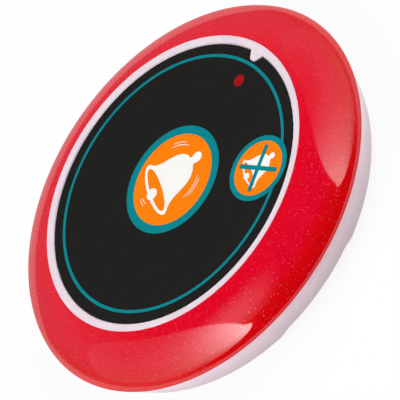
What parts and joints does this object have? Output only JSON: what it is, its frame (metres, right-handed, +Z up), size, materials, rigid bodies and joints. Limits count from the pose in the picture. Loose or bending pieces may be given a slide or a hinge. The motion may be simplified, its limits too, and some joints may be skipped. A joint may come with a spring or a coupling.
{
  "type": "waiter call button",
  "caption": "Round table call button: large call key and small cancel key under a printed film, red bezel, twist-off base with foam pad.",
  "frame": {"origin": "on the table, under the middle of the round body", "axes": "+Z up out of the keys; +Y towards the lamp and the rim's tooth; +X towards the finger scoop nearest the camera in the picture"},
  "size_m": [0.0848, 0.0848, 0.0155],
  "materials": {
    "white_shell": "pearly white, satin gloss",
    "red_glitter": "translucent red with fine glitter",
    "black_film": "near-black printed film",
    "orange_print": "orange print under clear film",
    "red_window": "clear dark red",
    "red_lamp": "diffused red resin",
    "key_plastic": "moulded, satin",
    "foam_pad": "closed-cell foam",
    "seal_rubber": "soft, dull",
    "black_plastic": "moulded",
    "switch_metal": "tinned",
    "screw_steel": "zinc plated",
    "contact_steel": "nickel plated",
    "board_green": "green solder mask",
    "chip_ceramic": "small ceramic blocks",
    "wire_copper": "enamelled copper",
    "cell_jacket": "plain grey jacket"
  },
  "bodies": {
    "base": {"adhesive_pad": "foam_pad", "base_plate": "white_shell", "seal_ring": "seal_rubber"},
    "housing": {"top_housing": "white_shell", "bezel_ring": "red_glitter", "overlay_film": "black_film", "led_window": "red_window", "call_switch_base": "black_plastic", "call_switch_frame": "switch_metal", "cancel_switch_base": "black_plastic", "cancel_switch_frame": "switch_metal", "circuit_board": "board_green", "board_screws": "screw_steel", "status_led": "red_lamp", "encoder_chip": "black_plastic", "saw_resonator": "switch_metal", "rf_transistor": "black_plastic", "chip_parts": "chip_ceramic", "antenna_wire": "wire_copper", "battery_cell": "cell_jacket", "battery_tray": "black_plastic", "battery_contact_plus": "contact_steel", "battery_contact_minus": "contact_steel"},
    "call_key": {"call_key": "key_plastic", "call_key_film": "orange_print", "call_switch_stem": "black_plastic"},
    "cancel_key": {"cancel_key": "key_plastic", "cancel_key_film": "orange_print", "cancel_switch_stem": "black_plastic"}
  },
  "joints": [
    {"name": "housing_twist", "type": "hinge", "parent": "base", "child": "housing", "pos_m": [0, 0, 0], "axis": [0, 0, 1], "range_deg": [0, 18]},
    {"name": "call_press", "type": "slide", "parent": "housing", "child": "call_key", "axis": [0, 0, -1], "range_m": [0, 0.0005], "stiffness_N_per_m": 4000},
    {"name": "cancel_press", "type": "slide", "parent": "housing", "child": "cancel_key", "axis": [0, 0, -1], "range_m": [0, 0.0005], "stiffness_N_per_m": 4000}
  ]
}
